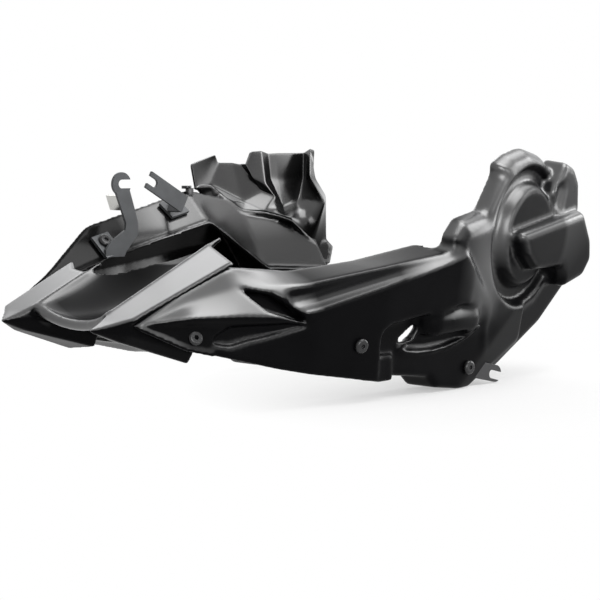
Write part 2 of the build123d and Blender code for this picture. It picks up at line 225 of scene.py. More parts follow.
def rod(x, h, z, points, radius):
    """Round rod along a chain of points."""
    nearest = None
    for first, last in zip(points, points[1:]):
        a, e = np.array(first, np.float32), np.array(last, np.float32) - np.array(first, np.float32)
        wx, wh, wz = x - a[0], h - a[1], z - a[2]
        share = np.clip((wx * e[0] + wh * e[1] + wz * e[2]) / (e @ e), 0, 1)
        gap = (wx - e[0] * share) ** 2 + (wh - e[1] * share) ** 2 + (wz - e[2] * share) ** 2
        nearest = gap if nearest is None else np.minimum(nearest, gap)
    return np.sqrt(nearest) - radius


def half_space(x, h, z, point, normal):
    """Below zero behind a plane."""
    n = np.array(normal, np.float32)
    n /= np.linalg.norm(n)
    return (x - point[0]) * n[0] + (h - point[1]) * n[1] + (z - point[2]) * n[2]


def soften(field):
    """Rounds all edges of a field a little."""
    for axis in range(3):
        last = field.shape[axis] - 1
        before = np.take(field, np.clip(np.arange(last + 1) - 1, 0, last), axis)
        after = np.take(field, np.clip(np.arange(last + 1) + 1, 0, last), axis)
        field = 0.25 * before + 0.5 * field + 0.25 * after
    return field


def skin(field, low, step):
    """Closed skin of four-sided faces round all points below zero."""
    solid = field < 0
    size = [n - 1 for n in field.shape]
    corner = [(i, j, k) for i in (0, 1) for j in (0, 1) for k in (0, 1)]

    def part(values, c):
        return values[c[0]:c[0] + size[0], c[1]:c[1] + size[1], c[2]:c[2] + size[2]]

    filled = sum(part(solid, c).astype(np.int8) for c in corner)
    cells = np.argwhere((filled > 0) & (filled < 8))
    value = {c: field[tuple((cells + c).T)] for c in corner}
    total = np.zeros((len(cells), 3), np.float32)
    count = np.zeros(len(cells), np.float32)
    for c in corner:
        for axis in range(3):
            if c[axis]:
                continue
            d = tuple(1 if n == axis else c[n] for n in range(3))
            a, b = value[c], value[d]
            crossing = (a < 0) != (b < 0)
            share = np.where(crossing, a / np.where(crossing, a - b, 1), 0)
            for n in range(3):
                total[:, n] += np.where(crossing, c[n] + (share if n == axis else 0), 0)
            count += crossing
    points = (cells + total / count[:, None]) * step + np.array(low)
    number = np.full(size, -1, np.int64)
    number[tuple(cells.T)] = np.arange(len(cells))
    faces = []
    for axis in range(3):
        one, two = (axis + 1) % 3, (axis + 2) % 3
        ahead = [slice(1, -1)] * 3
        ahead[axis] = slice(0, -1)
        beyond = list(ahead)
        beyond[axis] = slice(1, None)
        here, there = solid[tuple(ahead)], solid[tuple(beyond)]
        spots = np.argwhere(here != there)
        spots[:, one] += 1
        spots[:, two] += 1
        leaving = here[here != there]

        def cell(back_one, back_two):
            spot = spots.copy()
            spot[:, one] -= back_one
            spot[:, two] -= back_two
            return number[tuple(spot.T)]

        ring = np.stack([cell(1, 1), cell(0, 1), cell(0, 0), cell(1, 0)], 1)
        ring[~leaving] = ring[~leaving][:, ::-1]
        faces.append(ring)
    return points, np.concatenate(faces)


def deselect():
    """Leaves nothing selected."""
    if bpy.context.object and bpy.context.object.mode != "OBJECT":
        bpy.ops.object.mode_set(mode="OBJECT")
    bpy.ops.object.select_all(action="DESELECT")


def pick(piece):
    """Leaves one piece selected and active."""
    deselect()
    piece.select_set(True)
    bpy.context.view_layer.objects.active = piece


def mesh_object(name, points, faces):
    """New object from points in metres."""
    mesh = bpy.data.meshes.new(name)
    mesh.from_pydata([list(p) for p in points], [], [list(f) for f in faces])
    mesh.validate()
    piece = bpy.data.objects.new(name, mesh)
    bpy.context.scene.collection.objects.link(piece)
    pick(piece)
    return piece


def apply_all(piece):
    """Applies each modifier in order."""
    bpy.context.view_layer.objects.active = piece
    for modifier in list(piece.modifiers):
        bpy.ops.object.modifier_apply(modifier=modifier.name)


# Both flanks. A station is a percentage of the length. Its corners are percentages of the half width and
# of the height.

FLANK_TIP = (3.4, 54, 36.2)
LEFT_STATIONS = [
    (11, [(57, 47), (59.5, 43), (67, 38.4), (62, 35), (61.5, 26.5), (57, 27)]),
    (19, [(61.5, 56.5), (66, 48.5), (74, 37.6), (69, 33.5), (69.5, 21), (62, 22)]),
    (25.5, [(61.5, 55), (72, 48.5), (80, 36.8), (76.5, 31.5), (75.5, 16.5), (60, 19)]),
    (31, [(62.5, 53.5), (78, 49), (85.5, 39.5), (83.5, 30), (79.5, 13.5), (63.5, 15.5)]),
    (43.5, [(67, 56), (87.5, 54), (94, 47.5), (91, 30), (86, 8), (65, 11)]),
    (61.5, [(77, 64), (97.5, 60.5), (100, 58), (96, 39), (90.5, 17), (68, 19.5)]),
    (70, [(75, 64), (90, 60.5), (92, 58), (84, 39), (80, 17), (68, 19.5)]),
]
REACH, CLOSED_REACH = 60.0, 6
BLEND_SHIFTS = np.arange(-15, 15.1, 1.5)  # places along the pan that a section is smoothed over
TAIL_CENTRE = (along(77.1), across(87.5), above(67))
TOE, CAMBER = math.radians(11), math.radians(8)
TAIL_OUT = (math.sin(TOE) * math.cos(CAMBER), math.cos(TOE) * math.cos(CAMBER), -math.sin(CAMBER))
TAIL_FORE = (-math.cos(TOE), math.sin(TOE), 0.0)
TAIL_UP = tuple(np.cross(TAIL_OUT, TAIL_FORE))


def tail_axes(x, h, z):
    """Place on the tail plane: forward, up and outward."""
    dx, dh, dz = x - TAIL_CENTRE[0], h - TAIL_CENTRE[1], z - TAIL_CENTRE[2]
    return [dx * a[0] + dh * a[1] + dz * a[2] for a in (TAIL_FORE, TAIL_UP, TAIL_OUT)]


def tail_point(u, v, w):
    """Point at a place on the tail plane."""
    return [c + u * f + v * p + w * o for c, f, p, o in zip(TAIL_CENTRE, TAIL_FORE, TAIL_UP, TAIL_OUT)]


def flank_field(x, h, z, tip, stations, reach, round_along=5.0):
    """Body of a flank from its sections, smoothed from one station to the next."""
    at = [along(tip[0])] + [along(s) for s, _ in stations]
    rows = [[tip[1:]] * len(stations[0][1])] + [points for _, points in stations]
    line = x.ravel()
    weights = np.exp(-((BLEND_SHIFTS / round_along) ** 2))
    weights /= weights.sum()

    def run(values):
        pairs = zip(BLEND_SHIFTS, weights)
        return sum(weight * np.interp(line + shift, at, values) for shift, weight in pairs)[:, None, None]

    corners = [
        (run([across(row[i][0]) for row in rows]), run([above(row[i][1]) for row in rows]))
        for i in range(len(rows[0]))
    ]
    if reach:
        first, last = corners[0], corners[-1]
        corners = [(first[0] - reach, first[1])] + corners + [(last[0] - reach, last[1])]
    return outline_field(h, z, corners)


def from_side(points):
    """Outline in millimetres, seen from the side."""
    return [(along(a), above(b)) for a, b in points]


# Left panel. The skirt, gill, recess and front rim are in percentages, as the stations are. Other corners
# with a radius are in millimetres on the tail plane, and the rest is in millimetres in the part's frame.

BODY_CORNERS = [
    ((122, -6), 10), ((108, 10), 10), ((66, 17), 14), ((44, 52), 8), ((48, 62), 5), ((28, 71), 14),
    ((-5, 78), 40), ((-44, 71), 30), ((-66, 52), 6), ((-102, 50), 10), ((-130, 20), 20), ((-138, -45), 14),
    ((-98, -58), 14), ((-63, -86), 20), ((15, -112), 30), ((71, -98), 20), ((100, -66), 20),
    ((122, -48), 11),
]
BACK_CORNERS = [
    ((122, -6), 10), ((108, 8), 10), ((66, 14), 14), ((30, 64), 28), ((-44, 66), 30), ((-88, 48), 6),
    ((-102, 50), 10), ((-122, 45), 14), ((-140, 12), 20), ((-138, -66), 14), ((-84, -106), 14),
    ((10, -149), 20), ((48, -110), 20), ((54, -82), 14), ((100, -66), 20), ((122, -48), 11),
]
BLOCK_CORNERS = [
    ((31, -3), 6), ((-104, 16), 9), ((-130, -14), 9), ((-137, -36), 9), ((-122, -54), 9), ((-77, -64), 9),
    ((-68, -41), 5), ((-46, -41), 5), ((-8, -41), 9), ((14, -26), 12),
]
EAR_CORNERS = [
    ((-60, 50), 6), ((-71, 66), 7), ((-92, 60), 10), ((-107, 45), 12), ((-117, 10), 8), ((-64, 8), 8),
    ((-50, 34), 8),
]
SKIRT_CORNERS = [
    ((41, 11.5), 3), ((56, 7), 5), ((58, 2), 5), ((64, 0), 8), ((67, 0), 8), ((82, 17), 8), ((81, 39), 8),
    ((60, 41), 8), ((41, 34.5), 8),
]
SKIRT_OUT, SKIRT_DEPTH = across(83), 42
TAIL_DEPTH = 21
TAIL_TRIM = ((134.9, 147, 48), (0.222, 0.937, -0.268))
COVER_AT = (-17, -9)
GROOVE_RADIUS, GROOVE_HALF, GROOVE_DEPTH, GROOVE_FLARE = 60, 6.5, 10, 0.45
DISC_RADIUS, DISC_TOP, DISC_TAPER = 54, 3, 0.6
DISC_SCALE = 0.857  # keeps distances true on the disc's tapered side
BLOCK_TOP, BLOCK_ROOT, EAR_TOP = 20, 12, 8
EAR_POCKET, EAR_POCKET_RADIUS = [(-64, 24, 16), (-66, 36, 16)], 13
LOBE, LOBE_RADIUS = [(34, 150, 70), (84, 148, 71)], 17
BOX_AT, BOX_HALF, BOX_OUT, BOX_IN = (-28, 31), (9.5, 12.5), 151, 110
FLANK_END = 118
FLANK_STEP = ((52, 0, 141), (0.674, 0, 0.74))
GILL_FLOOR = ((along(20.2), across(59.5), 0), (-0.4, 1, 0))
RECESS_DEPTH = 4.5
VENT = [(-42, -10), (-42, 62), (-39, 68), (-30, 73), (13, 78.5), (64, 86.5), (120, 82), (120, -10)]
VALLEY = [(-136, 147, 104), (-116, 152.4, 107), (-40, 169.2, 124), (49, 184.2, 141.5)]
VALLEY_RADIUS = 14
GILL = [(20.2, 48), (25, 45), (28, 39.5), (29.8, 34.5), (26.5, 36.5), (23.4, 39.5)]
SLIT = [(-8, 53), (0, 53.5), (7, 57.5), (13, 63), (17, 69), (10, 66), (2, 61.5), (-6, 57)]
RECESS = [
    (29.8, 33.4), (23, 29.6), (20.9, 28.8), (17.8, 26.9), (15.2, 28.2), (15.6, 31), (18, 34.2),
    (26.2, 34.6),
]
FRONT_RIM = [(4.2, 55, 35.4), (7.6, 58.4, 31.1), (11, 61.6, 26.9), (15, 65.6, 24.2)]
FRONT_RIM_RADIUS = 1.9
SPOON, SPOON_RADIUS = [(8, 152, 51), (30, 153, 50), (72, 154, 53)], 8.5
LIP = [
    (23, 155, 75), (20, 150, 67), (11, 147.5, 54), (-4, 147.5, 51), (-8, 147, 47), (0, 147, 43.5),
    (17, 147, 41), (36, 147.5, 41), (56, 148, 43), (74, 149, 47), (89, 150, 52), (104, 152, 61),
]
LIP_RADIUS = 2.2


def skirt_field(x, h, z, reach):
    """Skirt under a flank, the same on both sides."""
    points = rounded([((along(a), above(b)), radius) for (a, b), radius in SKIRT_CORNERS])
    out = h - SKIRT_OUT
    return np.maximum(raised(spread(x, z, points), out, 5), -(out + SKIRT_DEPTH + reach))


def left_tail(x, h, z, reach):
    """Tail, skirt and round cover of the left panel as a full body."""
    u, v, w = tail_axes(x, h, z)
    back = -(w + TAIL_DEPTH + reach)
    plate = np.maximum(raised(spread(u, v, rounded(BACK_CORNERS)), w + 5, 8), back)
    body = np.maximum(raised(spread(u, v, rounded(BODY_CORNERS)), w, 20), back)
    tail = melt(melt(plate, body, 3), skirt_field(x, h, z, reach), 4)
    tail = carve(tail, -half_space(x, h, z, *TAIL_TRIM), 2)
    radius = np.hypot(u - COVER_AT[0], v - COVER_AT[1])
    depth = w + GROOVE_DEPTH
    groove = np.abs(radius - GROOVE_RADIUS) - GROOVE_HALF - np.maximum(depth, 0) * GROOVE_FLARE
    tail = carve(tail, np.maximum(groove, -depth), 4)
    disc = np.maximum((radius - DISC_RADIUS + depth * DISC_TAPER) * DISC_SCALE, w - DISC_TOP)
    tail = melt(tail, np.maximum(disc, back), 5)
    block = raised(spread(u, v, rounded(BLOCK_CORNERS)), w - BLOCK_TOP, 8)
    tail = melt(tail, np.maximum(block, -(w + BLOCK_ROOT)), 4)
    ear = np.maximum(raised(spread(u, v, rounded(EAR_CORNERS)), w - EAR_TOP, 7), back)
    tail = carve(melt(tail, ear, 4), rod(u, v, w, EAR_POCKET, EAR_POCKET_RADIUS), 3)
    tail = melt(tail, rod(x, h, z, LOBE, LOBE_RADIUS), 6)
    box = np.maximum(np.abs(x - BOX_AT[0]) - BOX_HALF[0], np.abs(z - BOX_AT[1]) - BOX_HALF[1])
    box = np.maximum(box, h - BOX_OUT)
    return melt(tail, np.maximum(box, BOX_IN - h - reach), 2)


def left_flank(x, h, z, reach):
    """Wedge of the left panel with its vent, valley, gill and recess as a full body."""
    flank = flank_field(x, h, z, FLANK_TIP, LEFT_STATIONS, reach or CLOSED_REACH)
    flank = carve(np.maximum(flank, x - FLANK_END), -half_space(x, h, z, *FLANK_STEP), 5)
    flank = carve(flank, outline_field(x, z, VENT), 2)
    flank = carve(flank, rod(x, h, z, VALLEY, VALLEY_RADIUS), 3)
    gill = np.maximum(outline_field(x, z, from_side(GILL)), -half_space(x, h, z, *GILL_FLOOR))
    return sink(carve(flank, gill, 2), outline_field(x, z, from_side(RECESS)), RECESS_DEPTH, 2)


def left_body(x, h, z, reach):
    """Left panel as a full body. A reach opens it inwards."""
    return melt(left_flank(x, h, z, reach), left_tail(x, h, z, reach), 9)


def left_field(x, h, z, thick):
    """Wall of the left panel."""
    spoon = rod(x, h, z, SPOON, SPOON_RADIUS)
    outer = carve(left_body(x, h, z, 0.0), spoon, 2)
    inner = np.maximum(left_body(x, h, z, REACH) + thick, -(spoon - thick))
    wall = np.maximum(soften(outer), -soften(inner))
    wall = np.maximum(wall, -outline_field(x, z, SLIT))
    wall = melt(wall, rod(x, h, z, LIP, LIP_RADIUS), 2)
    rim = [(along(a), across(b), above(c)) for a, b, c in FRONT_RIM]
    return melt(wall, rod(x, h, z, rim, FRONT_RIM_RADIUS), 2)


# Right panel. The points of its tail are in millimetres on the tail plane: forward, up and outward.

RIGHT_STATIONS = [
    (13, [(55.5, 46.5), (58.5, 51), (66.5, 41), (59.5, 35), (62, 27), (57, 27.5)]),
    (18.5, [(57, 51), (66, 60), (75, 44.5), (68, 34), (68, 22.5), (60, 23.5)]),
    (24, [(58.5, 55), (73.5, 69), (82.5, 47.5), (76, 33), (73.5, 18), (63, 20)]),
    (35, [(62, 61.5), (79, 75), (90.5, 51), (87.5, 31), (81.5, 11.5), (63.5, 15.5)]),
    (48, [(63.5, 69), (83.5, 83), (96, 55), (93, 31), (86.5, 8), (65, 11)]),
    (61.5, [(63.5, 46.5), (89, 77.5), (99, 58), (95.5, 39), (90.5, 17), (68, 19.5)]),
    (78, [(66, 44), (85, 67), (84, 56), (82, 42), (79.5, 30), (68, 31)]),
]
SHEET_CORNERS = [
    ((151, 41), 4), ((128, 36), 6), ((101, 10), 6), ((63, 5), 6), ((26, -4), 6), ((-3, -28), 6),
    ((-31, -26), 4), ((-36, -33), 5), ((-29, -53), 8), ((-18, -80), 14), ((14, -149), 16),
    ((52, -110), 20), ((94, -60), 20), ((130, 0), 10),
]
FAR_POINTS = {
    "ear_low": (150, 31, -26), "ear_left": (152, 59, -24), "ear_top": (120, 69, -21),
    "notch": (115, 61, -17), "notch_mid": (95, 61, -14), "dip": (84, 60, -12),
    "ridge_foot": (78, 60, -16), "ridge_left": (70, 73, -15), "ridge_right": (56, 74, -13),
    "horn": (-17, 77, -8), "horn_low": (-13, 43, -13), "rear_mid": (-35, 25, 1),
    "rear_low": (-31, -24, 1), "heel": (-39, -33, 0), "heel_low": (-30, -53, -4),
    "lip_a": (128, 37, -20), "lip_b": (101, 12, -24), "lip_c": (91, 8, -23),
    "lip_d": (63, 7, -20), "lip_e": (37, 1, -19), "lip_f": (26, -3, -19),
    "front_deep": (59, 31, -11), "front_floor": (86, 19, -15), "ridge_tip": (43, 22, -14),
    "ridge_a": (71, 44, -17), "ridge_b": (55, 38, -15), "rear_tl": (42, 72, -5),
    "rear_tm": (28, 73, -2), "rear_tr": (-17, 74, 8), "rear_ml": (41, 45, -3),
    "rear_mm": (28, 44, 0), "rear_mr": (-13, 45, 7), "rear_lr": (1, 21, 0),
    "rear_lm": (28, 12, -4), "spine_top": (-4, 44, -17), "spine_mid": (-10, 12, -16),
    "spine_low": (-3, -26, -14), "low": (12, -48, -10),
}
FAR_FACES = [
    "ear_low ear_left ear_top notch lip_a",
    "notch notch_mid front_floor lip_a",
    "notch_mid dip front_deep front_floor",
    "dip ridge_foot ridge_a front_deep",
    "ridge_a ridge_b ridge_tip front_deep",
    "front_floor front_deep ridge_tip lip_d",
    "lip_a front_floor lip_c lip_b",
    "front_floor lip_d lip_c",
    "ridge_foot ridge_left ridge_right ridge_b ridge_a",
    "ridge_right rear_tl rear_ml ridge_b",
    "ridge_b rear_ml rear_lm ridge_tip",
    "rear_tl rear_tm rear_mm rear_ml",
    "rear_tm rear_tr rear_mr rear_mm",
    "rear_ml rear_mm rear_lm",
    "rear_mm rear_mr rear_lr rear_lm",
    "rear_tr horn spine_top rear_mr",
    "horn horn_low spine_top",
    "rear_mr spine_top spine_mid rear_lr",
    "rear_lr spine_mid spine_low lip_f",
    "spine_top horn_low rear_mid spine_mid",
    "spine_mid rear_mid rear_low spine_low",
    "ridge_tip rear_lm lip_e lip_d",
    "rear_lm rear_lr lip_f lip_e",
    "lip_f spine_low low",
    "spine_low rear_low heel low",
    "heel heel_low low",
]


FAR_LIP_START, FAR_LIP_END, FAR_LIP_RADIUS = (150, 33, -26), (-2, -28, -15), 2.4
SHEET_LEVEL, SHEET_SLANT = 7, 0.115


def right_body(x, h, z, reach):
    """Right flank and skirt as a full body. A reach opens it inwards."""
    flank = flank_field(x, h, z, FLANK_TIP, RIGHT_STATIONS, reach or CLOSED_REACH)
    flank = np.maximum(flank, x - along(RIGHT_STATIONS[-1][0]))
    return melt(flank, skirt_field(x, h, z, reach), 5)


def right_field(x, h, z, thick):
    """Wall of the right panel."""
    inner = right_body(x, h, z, REACH) + thick
    wall = np.maximum(soften(right_body(x, h, z, 0.0)), -soften(inner))
    u, v, w = tail_axes(x, h, z)
    sheet = np.abs(w + SHEET_LEVEL + SHEET_SLANT * u) - thick / 2
    wall = melt(wall, np.maximum(sheet, spread(u, v, rounded(SHEET_CORNERS))), 4)
    lip = [FAR_POINTS["lip_" + letter] for letter in "abcdef"]
    lip = [FAR_LIP_START] + [(a, b - 2, c - 1) for a, b, c in lip] + [FAR_LIP_END]
    return melt(wall, rod(u, v, w, lip, FAR_LIP_RADIUS), 3)


# Nose. Its strips are in millimetres on a plane that rises from the front edge.

NOSE_RISE, NOSE_FOOT = math.radians(25), above(34.5)
STRIP_THICK = 4
LEFT_STRIP = [(0, -63), (24, -93), (132, -112), (162, -51), (31, -51)]
RIGHT_STRIP = [(31, 51), (0, 63), (24, 93), (116, 96), (101, 76), (96, 51)]
TROUGH_END = [(100, 51.5), (130, 28), (160, -20), (170, -51), (230, -56), (230, 56)]
TROUGH_HALF, TROUGH_POWER = 52, 0.8
TROUGH_DEPTH, TROUGH_FALL = 14, (30, 110)
TROUGH_LEVEL, TROUGH_SCALE, TROUGH_WALL = 2, 0.75, 1.9
TROUGH_EDGE, TROUGH_FRONT = 53, 29
NOSE_LIP_AT, NOSE_LIP_DROP, NOSE_LIP_RADIUS = 31, 3, 4.5
NOSE_LIP_SPAN, NOSE_LIP_POINTS = 50, 11
BEAK_CROWN = above(33.6)
BEAK_TIP = (-0.6, 35.5, 34.5)
BEAK_STATIONS = [
    (3.6, 30.5, 51, [(49, 33), (44, 29.5), (34, 30), (30, 34.5)]),
    (14.9, 29, 54.5, [(52, 23.5), (48, 19.5), (26, 21.5), (22.5, 26.5)]),
]


def hollow(y):
    """Share of the channel's depth at a distance from the middle."""
    return np.clip(1 - (y / TROUGH_HALF) ** 2, 0, 1) ** TROUGH_POWER


def nose_field(x, y, z, thick):
    """Wall of the nose."""
    dx, dz = x + LENGTH / 2, z - NOSE_FOOT
    s = dx * math.cos(NOSE_RISE) + dz * math.sin(NOSE_RISE) + 0 * y
    n = -dx * math.sin(NOSE_RISE) + dz * math.cos(NOSE_RISE) + 0 * y
    level = y + 0 * s
    strips = np.minimum(spread(s, level, LEFT_STRIP), spread(s, level, RIGHT_STRIP))
    wall = np.maximum(raised(strips, n, 2.5), -(n + STRIP_THICK))
    fall = np.sin(np.clip((s - TROUGH_FALL[0]) / TROUGH_FALL[1], 0, 1) * math.pi)
    depth = (TROUGH_DEPTH + TROUGH_DEPTH * fall) * hollow(y)
    trough = np.abs(n + depth + TROUGH_LEVEL) * TROUGH_SCALE - TROUGH_WALL
    trough = np.maximum(trough, np.maximum(np.abs(level) - TROUGH_EDGE, TROUGH_FRONT - s))
    trough = np.maximum(trough, -spread(s, level, TROUGH_END))
    wall = melt(wall, trough, 3)
    span = np.linspace(-NOSE_LIP_SPAN, NOSE_LIP_SPAN, NOSE_LIP_POINTS)
    lip = [(NOSE_LIP_AT, b, -TROUGH_DEPTH * hollow(b) - NOSE_LIP_DROP) for b in span]
    wall = melt(wall, rod(s, level, n, lip, NOSE_LIP_RADIUS), 3)
    rows = []
    for station, inner, outer, low in BEAK_STATIONS:
        crown = 100 * (BEAK_CROWN + (along(station) + LENGTH / 2) * math.tan(NOSE_RISE)) / HEIGHT
        rows.append((station, [(inner, crown), (outer, crown)] + low))
    for side in (-1, 1):
        beak = flank_field(x, side * y, z, BEAK_TIP, rows, 0.0, 2.0)
        shell = np.maximum(np.maximum(beak, x - along(BEAK_STATIONS[-1][0])), -(beak + thick))
        wall = melt(wall, shell, 1.5)
    return wall


# Pieces and finishes


def add_smooth(piece, passes):
    """Modifier that evens out a mesh."""
    smooth = piece.modifiers.new("Smooth", "SMOOTH")
    smooth.factor, smooth.iterations = 0.5, passes


def panel_piece(name, field, low, high, step, side, passes, thick):
    """Panel as a new piece, skinned in the room between two corners. Side -1 mirrors it."""
    step = step / MM * 1
    points, faces = skin(field(*room(low, high, step), thick / MM), low, step)
    if not len(faces):
        raise RuntimeError(name + " came out empty")
    points[:, 1] *= side
    if side < 0:
        faces = faces[:, ::-1]
    piece = mesh_object(name, points * MM, faces)
    add_smooth(piece, passes)
    apply_all(piece)
    bpy.ops.object.shade_smooth()
    return piece


def finish_piece(piece, node, material):
    """Ties a piece to the frame and gives it its finish."""
    piece.data.materials.clear()
    piece.data.materials.append(material)
    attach(piece, "root")
    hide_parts(node)


def ramp(value, low, high):
    """Rises from 0 to 1 between two values."""
    return ((value - low) / (high - low)).at_least(0.0).at_most(1.0)


# Limits of the painted sheen and painted shade on the satin black. Places are in metres, looks are parts
# of a face's normal.
FORWARD_LOOK, SHOULDER_END = (-0.17, 0.1), (0.12, 0.145)
TAIL_START, TAIL_FOOT, TAIL_LOOK = (0.05, 0.13), (0.05, 0.12), (-0.6, -0.15)
TAIL_LINE_AT, TAIL_LINE_RISE, TAIL_LINE = 0.13, 0.62, (0.03, 0.085)
TOP_LOOK, CREST_LOOK = (0.05, 0.5), (0.92, 0.98)
TROUGH_SIDE, TROUGH_START, TROUGH_REAR = (0.044, 0.052), (-0.272, -0.258), (-0.215, -0.185)
FLANK_START, FLANK_STOP, LEVEL_LOOK = (-0.13, -0.11), (0.05, 0.09), (0.65, 0.9)
FOLD_STOP = (-0.02, 0.02)
RECESS_START, RECESS_TOP = (-0.25, -0.235), (0.078, 0.09)
COVER_HEIGHT, COVER_STATION, COVER_SPREAD = 0.1465, 0.1823, (0.0021, 0.0031)
LIP_STOP = (-0.272, -0.262)
# Limits of the painted sheen and painted shade on the gloss black
LOW_START, LOW_TOP = (-0.04, 0.0), (0.135, 0.17)
INNER_LOOK, INNER_START = (-0.05, 0.3), (-0.12, -0.07)


def satin_painted_light(faces, place):
    """Coat weight as painted sheen on faces that look up, on the tail's faces that look forward and on the
    front lip, lowered as painted shade in the trough, recess, folds, on level flank faces and round the
    cover.
    """
    forward = ramp(faces[0] * -1.0, *FORWARD_LOOK)
    shoulder = forward.at_least(1.0 - ramp(place[0], *SHOULDER_END))
    tail = ramp(place[0], *TAIL_START) * ramp(place[2], *TAIL_FOOT) * ramp(faces[2], *TAIL_LOOK)
    tail = tail * ramp(place[2] - (place[0] - TAIL_LINE_AT) * TAIL_LINE_RISE, *TAIL_LINE)
    top = ramp(faces[2], *TOP_LOOK) * (1.0 - ramp(faces[2], *CREST_LOOK) * 0.6)
    middle = 1.0 - ramp(place[1].at_least(place[1] * -1.0), *TROUGH_SIDE)
    trough = middle * ramp(place[0], *TROUGH_START) * (0.82 + ramp(place[0], *TROUGH_REAR) * 0.14)
    flank = ramp(place[0], *FLANK_START) * (1.0 - ramp(place[0], *FLANK_STOP))
    level = ramp(faces[2], *LEVEL_LOOK)
    fold = flank * (1.0 - ramp(place[0], *FOLD_STOP)) * (1.0 - level)
    recess = ramp(place[0], *RECESS_START) * (1.0 - flank) * (1.0 - ramp(place[2], *RECESS_TOP))
    # Less coat in the trough, on level and folded flank faces and in the recess: painted shade.
    top = top * (1.0 - trough) * (1.0 - flank * level * 0.86) * (1.0 - fold * 0.93) * (1.0 - recess * 0.7)
    over, back = place[2] - COVER_HEIGHT, place[0] - COVER_STATION
    # Less coat round the cover: painted shade.
    cover = (1.0 - ramp(over * over + back * back, *COVER_SPREAD)) * (1.0 - forward * 0.7)
    shine = top.at_least(tail * (0.22 + shoulder * 0.78)) * (1.0 - cover * 0.9)
    # Coat on the front lip: painted highlight.
    lip = middle * (1.0 - ramp(place[0], *LIP_STOP))
    return shine.at_least(lip)


def gloss_painted_light(faces, place):
    """Coat weight of the inner faces as painted sheen, most where faces look up; it fades towards the
    front and is lower low down at the rear, as painted shade.
    """
    # Less coat low down at the rear and towards the front: painted shade.
    low = ramp(place[0], *LOW_START) * (1.0 - ramp(place[2], *LOW_TOP))
    inner = (0.06 + ramp(faces[2], *INNER_LOOK) * 0.74) * (1.0 - low * 0.6)
    return inner * (0.06 + ramp(place[0], *INNER_START) * 0.94)


BASE_SPECULAR, COAT_IOR, COAT_TINT = 0.03, 1.9, (0.94, 0.96, 1.0, 1)
FACE_NORMAL, OBJECT_PLACE, MIXED_COLOUR = 1, 3, 2  # numbers of node outputs


def new_finish(name):
    """New material, its node tree and its main shader."""
    material = bpy.data.materials.new(name)
    material.use_nodes = True
    return material, material.node_tree, material.node_tree.nodes["Principled BSDF"]


def split(vector):
    """The three parts of a vector."""
    return [Node.add(vector.tree, "ShaderNodeSeparateXYZ", output=n, Vector=vector) for n in range(3)]


def add_grain(shader, place, scale, strength, distance):
    """Fine bumps all over a surface."""
    grain = Node.add(place.tree, "ShaderNodeTexNoise", Vector=place, Scale=scale, Detail=2.0)
    bump = Node.add(place.tree, "ShaderNodeBump", Strength=strength, Distance=distance, Height=grain)
    bump.feed(shader, "Normal")


def plastic(name, colour, roughness, painted_light, depth):
    """Black moulded plastic with a fine grain and a coat that changes over the part as painted sheen and
    painted shade.
    """
    material, tree, shader = new_finish(name)
    shader.inputs["Specular IOR Level"].default_value = BASE_SPECULAR
    shader.inputs["Coat Roughness"].default_value = roughness
    shader.inputs["Coat IOR"].default_value = COAT_IOR
    shader.inputs["Coat Tint"].default_value = COAT_TINT
    facing = Node.add(tree, "ShaderNodeNewGeometry", output=FACE_NORMAL)
    place = Node.add(tree, "ShaderNodeTexCoord", output=OBJECT_PLACE)
    # Coat weight from where faces look and where they lie: painted sheen and painted shade.
    painted_light(split(facing), split(place)).feed(shader, "Coat Weight")
    cloud = Node.add(tree, "ShaderNodeTexNoise", Vector=place, Scale=38.0, Detail=4.0)
    (roughness + (cloud - 0.5) * 0.12).feed(shader, "Roughness")
    two_tone(cloud, colour, 0.8, 1.2).feed(shader, "Base Color")
    add_grain(shader, place, 1400.0, depth, 0.0002)
    return material


def two_tone(share, colour, low, high):
    """Colour that runs between a darker and a lighter tone."""
    dark, light = ((*[c * tone for c in colour], 1) for tone in (low, high))
    kind = {"data_type": "RGBA"}
    return Node.add(share.tree, "ShaderNodeMix", kind, output=MIXED_COLOUR, i0=share, i6=dark, i7=light)


class BELLY_PG_panels(bpy.types.PropertyGroup):
    """Sizes and colours of the moulded panels"""

    wall: bpy.props.FloatProperty(
        name="Wall", description="Thickness of the moulded walls", default=0.0034, min=0.0025,
        unit="LENGTH",
    )
    side_step: bpy.props.FloatProperty(
        name="Side step", description="Distance between points of a side panel", default=0.00185,
        min=0.001, unit="LENGTH",
    )
    nose_step: bpy.props.FloatProperty(
        name="Nose step", description="Distance between points of the nose", default=0.0015, min=0.001,
        unit="LENGTH",
    )
    satin: bpy.props.FloatVectorProperty(
        name="Satin black", description="Colour of the left panel and the nose", subtype="COLOR",
        default=(0.003, 0.003, 0.0034), min=0.0, max=1.0,
    )
    gloss: bpy.props.FloatVectorProperty(
        name="Gloss black", description="Colour of the right panel", subtype="COLOR",
        default=(0.003, 0.003, 0.003), min=0.0, max=1.0,
    )


